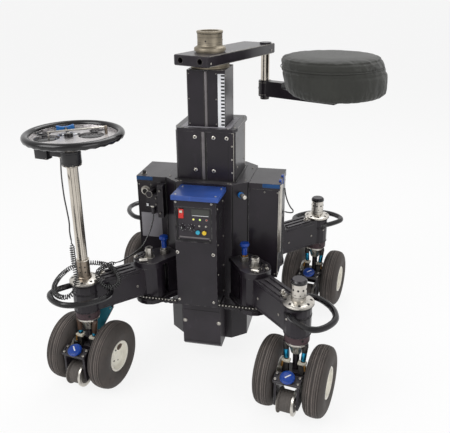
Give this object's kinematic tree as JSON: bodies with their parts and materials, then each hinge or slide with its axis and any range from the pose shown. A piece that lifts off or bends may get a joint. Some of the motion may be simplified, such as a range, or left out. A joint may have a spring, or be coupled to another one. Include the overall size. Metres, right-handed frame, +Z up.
{
  "type": "camera dolly",
  "caption": "Camera dolly: telescopic column on swinging legs with paired wheels, a steering rod with a curly cord, and a swivelling operator seat.",
  "frame": {"origin": "middle of the dolly on the floor, under the column", "axes": "+Z up; -Y towards the front with the control box; +X towards the right battery box; the steering rod stands at -X -Y"},
  "size_m": [1.1738, 1.0928, 1.2609],
  "materials": {
    "black_casting": "satin",
    "black_paint": "satin",
    "lid_blue": "satin",
    "bronze": "satin",
    "nickel": "satin",
    "chrome": "polished",
    "cream_rim": "satin",
    "tyre": "matte",
    "roller": "satin",
    "seat_fabric": "matte",
    "black_plastic": "matte",
    "blue_plastic": "satin",
    "red_plastic": "gloss",
    "cyan_plastic": "gloss",
    "yellow_plastic": "gloss",
    "cord_rubber": "matte"
  },
  "bodies": {
    "chassis": {"column_housing": "black_casting", "control_box": "black_casting", "control_lid": "lid_blue", "control_panel": "black_plastic", "lower_cover": "black_casting", "battery_box_right": "black_casting", "battery_box_left": "black_casting", "cord_socket": "black_plastic", "cord_lead_lower": "cord_rubber", "pivot_bolt_front_left": "nickel", "pivot_bolt_front_right": "nickel", "pivot_bolt_back_left": "nickel", "pivot_bolt_back_right": "nickel"},
    "middle_column": {"middle_stage": "black_casting"},
    "inner_column": {"inner_stage": "black_casting", "camera_adapter": "bronze"},
    "beam": {"seat_beam": "black_casting"},
    "arm": {"seat_arm": "black_casting"},
    "seat": {"seat_pan": "black_plastic", "seat_cushion": "seat_fabric"},
    "rocker": {"rocker_switch": "red_plastic"},
    "button_left": {"panel_button_left": "cyan_plastic"},
    "button_right": {"panel_button_right": "yellow_plastic"},
    "lock_front_left": {"lock_pin_front_left": "blue_plastic"},
    "leg_body_front_left": {"leg_front_left": "black_casting", "curly_cord": "cord_rubber"},
    "fork_front_left": {"steering_fork_front_left": "nickel", "steering_rod": "chrome", "steering_wheel": "black_plastic", "cord_lead_upper": "cord_rubber"},
    "throttle": {"throttle_lever": "blue_plastic"},
    "wheels_front_left": {"wheelset_front_left": "cream_rim", "tyre_front_left_outer": "tyre", "tyre_front_left_inner": "tyre"},
    "track_wheel_body_front_left": {"track_wheel_front_left": "roller"},
    "track_knob_body_front_left": {"track_knob_front_left": "blue_plastic"},
    "lock_front_right": {"lock_pin_front_right": "blue_plastic"},
    "leg_body_front_right": {"leg_front_right": "black_casting"},
    "fork_front_right": {"steering_fork_front_right": "nickel"},
    "wheels_front_right": {"wheelset_front_right": "cream_rim", "tyre_front_right_outer": "tyre", "tyre_front_right_inner": "tyre"},
    "track_wheel_body_front_right": {"track_wheel_front_right": "roller"},
    "track_knob_body_front_right": {"track_knob_front_right": "blue_plastic"},
    "lock_back_left": {"lock_pin_back_left": "blue_plastic"},
    "leg_body_back_left": {"leg_back_left": "black_casting"},
    "fork_back_left": {"steering_fork_back_left": "nickel"},
    "wheels_back_left": {"wheelset_back_left": "cream_rim", "tyre_back_left_outer": "tyre", "tyre_back_left_inner": "tyre"},
    "track_wheel_body_back_left": {"track_wheel_back_left": "roller"},
    "track_knob_body_back_left": {"track_knob_back_left": "blue_plastic"},
    "lock_back_right": {"lock_pin_back_right": "blue_plastic"},
    "leg_body_back_right": {"leg_back_right": "black_casting"},
    "fork_back_right": {"steering_fork_back_right": "nickel"},
    "wheels_back_right": {"wheelset_back_right": "cream_rim", "tyre_back_right_outer": "tyre", "tyre_back_right_inner": "tyre"},
    "track_wheel_body_back_right": {"track_wheel_back_right": "roller"},
    "track_knob_body_back_right": {"track_knob_back_right": "blue_plastic"}
  },
  "joints": [
    {"name": "lift_middle", "type": "slide", "parent": "chassis", "child": "middle_column", "axis": [0, 0, 1], "range_m": [-0.115, 0.23]},
    {"name": "lift_inner", "type": "slide", "parent": "middle_column", "child": "inner_column", "axis": [0, 0, 1], "range_m": [-0.115, 0.23]},
    {"name": "seat_beam_swivel", "type": "hinge", "parent": "inner_column", "child": "beam", "pos_m": [-0.05343, 0.01404, 1.169], "axis": [0, 0, 1], "range_deg": [-90, 110]},
    {"name": "seat_arm_swing", "type": "hinge", "parent": "beam", "child": "arm", "pos_m": [0.10612, 0.27598, 1.1], "axis": [0, 0, 1], "range_deg": [-30, 110]},
    {"name": "seat_swivel", "type": "hinge", "parent": "arm", "child": "seat", "pos_m": [0.38124, 0.15636, 1.028], "axis": [0, 0, 1], "continuous": true},
    {"name": "rocker_tilt", "type": "hinge", "parent": "chassis", "child": "rocker", "pos_m": [-0.10643, -0.24296, 0.66], "axis": [1, 0, 0], "range_deg": [0, 8]},
    {"name": "button_left_press", "type": "slide", "parent": "chassis", "child": "button_left", "axis": [0, 1, 0], "range_m": [0, 0.002], "stiffness_N_per_m": 300},
    {"name": "button_right_press", "type": "slide", "parent": "chassis", "child": "button_right", "axis": [0, 1, 0], "range_m": [0, 0.002], "stiffness_N_per_m": 300},
    {"name": "lock_pin_pull_front_left", "type": "slide", "parent": "chassis", "child": "lock_front_left", "axis": [0, 0, 1], "range_m": [0, 0.015], "stiffness_N_per_m": 600},
    {"name": "leg_swing_front_left", "type": "hinge", "parent": "chassis", "child": "leg_body_front_left", "pos_m": [-0.25843, -0.18296, 0.355], "axis": [0, 0, 1], "range_deg": [-23, 42]},
    {"name": "steer_front_left", "type": "hinge", "parent": "leg_body_front_left", "child": "fork_front_left", "pos_m": [-0.44043, -0.37396, 0.355], "axis": [0, 0, 1], "range_deg": [-170, 170]},
    {"name": "throttle_turn", "type": "hinge", "parent": "fork_front_left", "child": "throttle", "pos_m": [-0.44043, -0.37396, 0.963], "axis": [0, 0, 1], "range_deg": [-20, 20], "stiffness_Nm_per_rad": 0.6},
    {"name": "wheel_spin_front_left", "type": "hinge", "parent": "fork_front_left", "child": "wheels_front_left", "pos_m": [-0.44043, -0.37396, 0.1275], "axis": [0.9848, -0.1736, 0], "continuous": true},
    {"name": "track_wheel_spin_front_left", "type": "hinge", "parent": "fork_front_left", "child": "track_wheel_body_front_left", "pos_m": [-0.45571, -0.46063, 0.08], "axis": [0.9848, -0.1736, 0], "continuous": true},
    {"name": "track_knob_turn_front_left", "type": "hinge", "parent": "fork_front_left", "child": "track_knob_body_front_left", "pos_m": [-0.45745, -0.47047, 0.178], "axis": [-0.0594, -0.3368, 0.9397], "range_deg": [-135, 135]},
    {"name": "lock_pin_pull_front_right", "type": "slide", "parent": "chassis", "child": "lock_front_right", "axis": [0, 0, 1], "range_m": [0, 0.015], "stiffness_N_per_m": 600},
    {"name": "leg_swing_front_right", "type": "hinge", "parent": "chassis", "child": "leg_body_front_right", "pos_m": [0.15157, -0.18296, 0.355], "axis": [0, 0, 1], "range_deg": [-42, 23]},
    {"name": "steer_front_right", "type": "hinge", "parent": "leg_body_front_right", "child": "fork_front_right", "pos_m": [0.33357, -0.37396, 0.355], "axis": [0, 0, 1], "range_deg": [-170, 170]},
    {"name": "wheel_spin_front_right", "type": "hinge", "parent": "fork_front_right", "child": "wheels_front_right", "pos_m": [0.33357, -0.37396, 0.1275], "axis": [0.9848, -0.1736, 0], "continuous": true},
    {"name": "track_wheel_spin_front_right", "type": "hinge", "parent": "fork_front_right", "child": "track_wheel_body_front_right", "pos_m": [0.31829, -0.46063, 0.08], "axis": [0.9848, -0.1736, 0], "continuous": true},
    {"name": "track_knob_turn_front_right", "type": "hinge", "parent": "fork_front_right", "child": "track_knob_body_front_right", "pos_m": [0.31655, -0.47047, 0.178], "axis": [-0.0594, -0.3368, 0.9397], "range_deg": [-135, 135]},
    {"name": "lock_pin_pull_back_left", "type": "slide", "parent": "chassis", "child": "lock_back_left", "axis": [0, 0, 1], "range_m": [0, 0.015], "stiffness_N_per_m": 600},
    {"name": "leg_swing_back_left", "type": "hinge", "parent": "chassis", "child": "leg_body_back_left", "pos_m": [-0.25843, 0.21104, 0.355], "axis": [0, 0, 1], "range_deg": [-42, 23]},
    {"name": "steer_back_left", "type": "hinge", "parent": "leg_body_back_left", "child": "fork_back_left", "pos_m": [-0.44043, 0.40204, 0.355], "axis": [0, 0, 1], "range_deg": [-170, 170]},
    {"name": "wheel_spin_back_left", "type": "hinge", "parent": "fork_back_left", "child": "wheels_back_left", "pos_m": [-0.44043, 0.40204, 0.1275], "axis": [0.9848, -0.1736, 0], "continuous": true},
    {"name": "track_wheel_spin_back_left", "type": "hinge", "parent": "fork_back_left", "child": "track_wheel_body_back_left", "pos_m": [-0.45571, 0.31537, 0.08], "axis": [0.9848, -0.1736, 0], "continuous": true},
    {"name": "track_knob_turn_back_left", "type": "hinge", "parent": "fork_back_left", "child": "track_knob_body_back_left", "pos_m": [-0.45745, 0.30553, 0.178], "axis": [-0.0594, -0.3368, 0.9397], "range_deg": [-135, 135]},
    {"name": "lock_pin_pull_back_right", "type": "slide", "parent": "chassis", "child": "lock_back_right", "axis": [0, 0, 1], "range_m": [0, 0.015], "stiffness_N_per_m": 600},
    {"name": "leg_swing_back_right", "type": "hinge", "parent": "chassis", "child": "leg_body_back_right", "pos_m": [0.15157, 0.21104, 0.355], "axis": [0, 0, 1], "range_deg": [-23, 42]},
    {"name": "steer_back_right", "type": "hinge", "parent": "leg_body_back_right", "child": "fork_back_right", "pos_m": [0.33357, 0.40204, 0.355], "axis": [0, 0, 1], "range_deg": [-170, 170]},
    {"name": "wheel_spin_back_right", "type": "hinge", "parent": "fork_back_right", "child": "wheels_back_right", "pos_m": [0.33357, 0.40204, 0.1275], "axis": [0.9848, -0.1736, 0], "continuous": true},
    {"name": "track_wheel_spin_back_right", "type": "hinge", "parent": "fork_back_right", "child": "track_wheel_body_back_right", "pos_m": [0.31829, 0.31537, 0.08], "axis": [0.9848, -0.1736, 0], "continuous": true},
    {"name": "track_knob_turn_back_right", "type": "hinge", "parent": "fork_back_right", "child": "track_knob_body_back_right", "pos_m": [0.31655, 0.30553, 0.178], "axis": [-0.0594, -0.3368, 0.9397], "range_deg": [-135, 135]}
  ],
  "couplings": [
    {"joint": "lift_inner", "follows": "lift_middle", "ratio": 1},
    {"joint": "steer_front_right", "follows": "steer_front_left", "ratio": 1},
    {"joint": "steer_back_left", "follows": "steer_front_left", "ratio": 1},
    {"joint": "steer_back_right", "follows": "steer_front_left", "ratio": 1}
  ]
}
